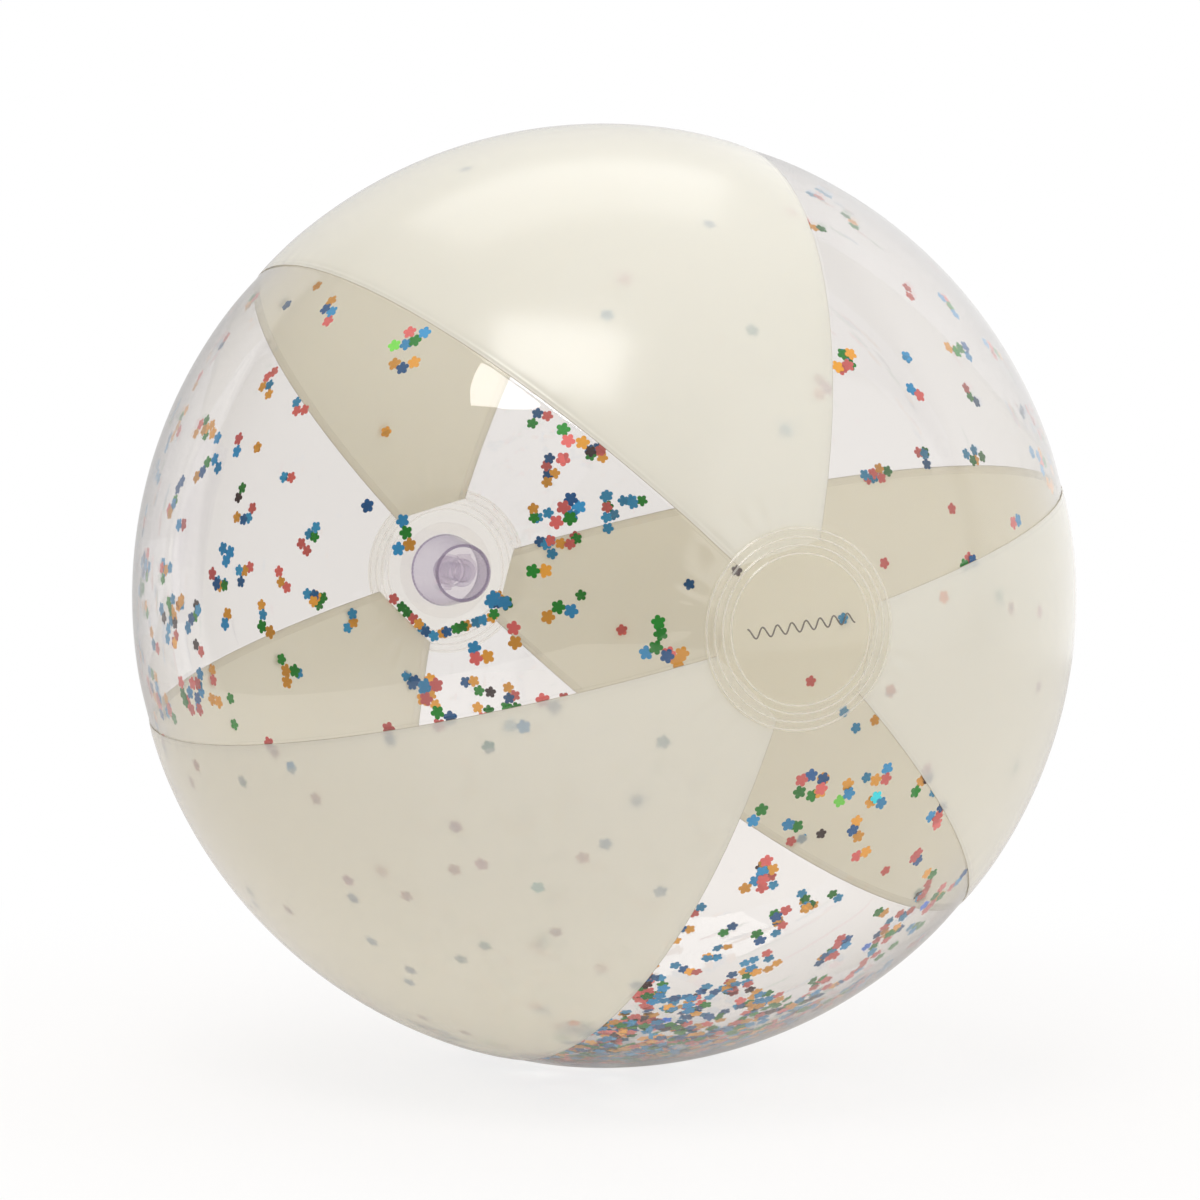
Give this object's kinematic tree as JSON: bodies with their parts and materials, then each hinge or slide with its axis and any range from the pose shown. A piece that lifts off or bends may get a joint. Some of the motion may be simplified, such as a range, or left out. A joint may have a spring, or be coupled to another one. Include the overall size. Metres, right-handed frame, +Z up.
{
  "type": "inflatable beach ball",
  "caption": "Inflated film ball of alternating cream and clear gores with a weld disc at each pole, a push-in valve with plug, and flower confetti loose inside.",
  "frame": {"origin": "centre of the inflated ball", "axes": "Y is the polar axis that the seams meet on, with the valve at +Y and the plain disc at -Y; +Z is up with the ball lying on its side, loose confetti at its lowest point"},
  "size_m": [0.3493, 0.3508, 0.3491],
  "materials": {
    "cream_film": "satin",
    "clear_film": "gloss",
    "disc_film": "gloss",
    "valve_vinyl": "satin",
    "confetti_blue": "gloss",
    "confetti_teal": "gloss",
    "confetti_green": "gloss",
    "confetti_pink": "gloss",
    "confetti_gold": "gloss",
    "confetti_mixed": "gloss"
  },
  "bodies": {
    "ball": {"cream_gore_top": "cream_film", "clear_gore_upper_right": "clear_film", "cream_gore_lower_right": "cream_film", "clear_gore_bottom": "clear_film", "cream_gore_lower_left": "cream_film", "clear_gore_upper_left": "clear_film", "front_disc": "disc_film", "valve_disc": "disc_film", "valve_flange": "valve_vinyl", "valve_cup": "valve_vinyl", "confetti_blue_1": "confetti_blue", "confetti_teal_1": "confetti_teal", "confetti_green_1": "confetti_green", "confetti_pink_1": "confetti_pink", "confetti_gold_1": "confetti_gold", "confetti_blue_2": "confetti_blue", "confetti_teal_2": "confetti_teal", "confetti_green_2": "confetti_green", "confetti_pink_2": "confetti_pink", "confetti_gold_2": "confetti_gold", "confetti_blue_3": "confetti_blue", "confetti_teal_3": "confetti_teal", "confetti_green_3": "confetti_green", "confetti_pink_3": "confetti_pink", "confetti_gold_3": "confetti_gold", "confetti_blue_4": "confetti_blue", "confetti_teal_4": "confetti_teal", "confetti_green_4": "confetti_green", "confetti_pink_4": "confetti_pink", "confetti_gold_4": "confetti_gold", "confetti_blue_5": "confetti_blue", "confetti_teal_5": "confetti_teal", "confetti_green_5": "confetti_green", "confetti_pink_5": "confetti_pink", "confetti_gold_5": "confetti_gold", "confetti_blue_6": "confetti_blue", "confetti_teal_6": "confetti_teal", "confetti_green_6": "confetti_green", "confetti_pink_6": "confetti_pink", "confetti_gold_6": "confetti_gold"},
    "valve_stem": {"valve_stem": "valve_vinyl"},
    "plug": {"valve_plug": "valve_vinyl", "plug_strap": "valve_vinyl"},
    "flap": {"check_flap": "valve_vinyl"},
    "loose_confetti": {"confetti_heap": "confetti_mixed"}
  },
  "joints": [
    {"name": "valve_slide", "type": "slide", "parent": "ball", "child": "valve_stem", "axis": [0, 1, 0], "range_m": [0, 0.04], "deforming": ["valve_cup"]},
    {"name": "plug_hinge", "type": "hinge", "parent": "valve_stem", "child": "plug", "pos_m": [0, 0.17115, -0.0078], "axis": [-1, 0, 0], "range_deg": [0, 120]},
    {"name": "flap_hinge", "type": "hinge", "parent": "valve_stem", "child": "flap", "pos_m": [0, 0.15176, 0.0076], "axis": [-1, 0, 0], "range_deg": [0, 40], "stiffness_Nm_per_rad": 0.0005},
    {"name": "confetti_roll", "type": "hinge", "parent": "ball", "child": "loose_confetti", "pos_m": [0, 0, 0], "axis": [0, 1, 0], "continuous": true}
  ]
}
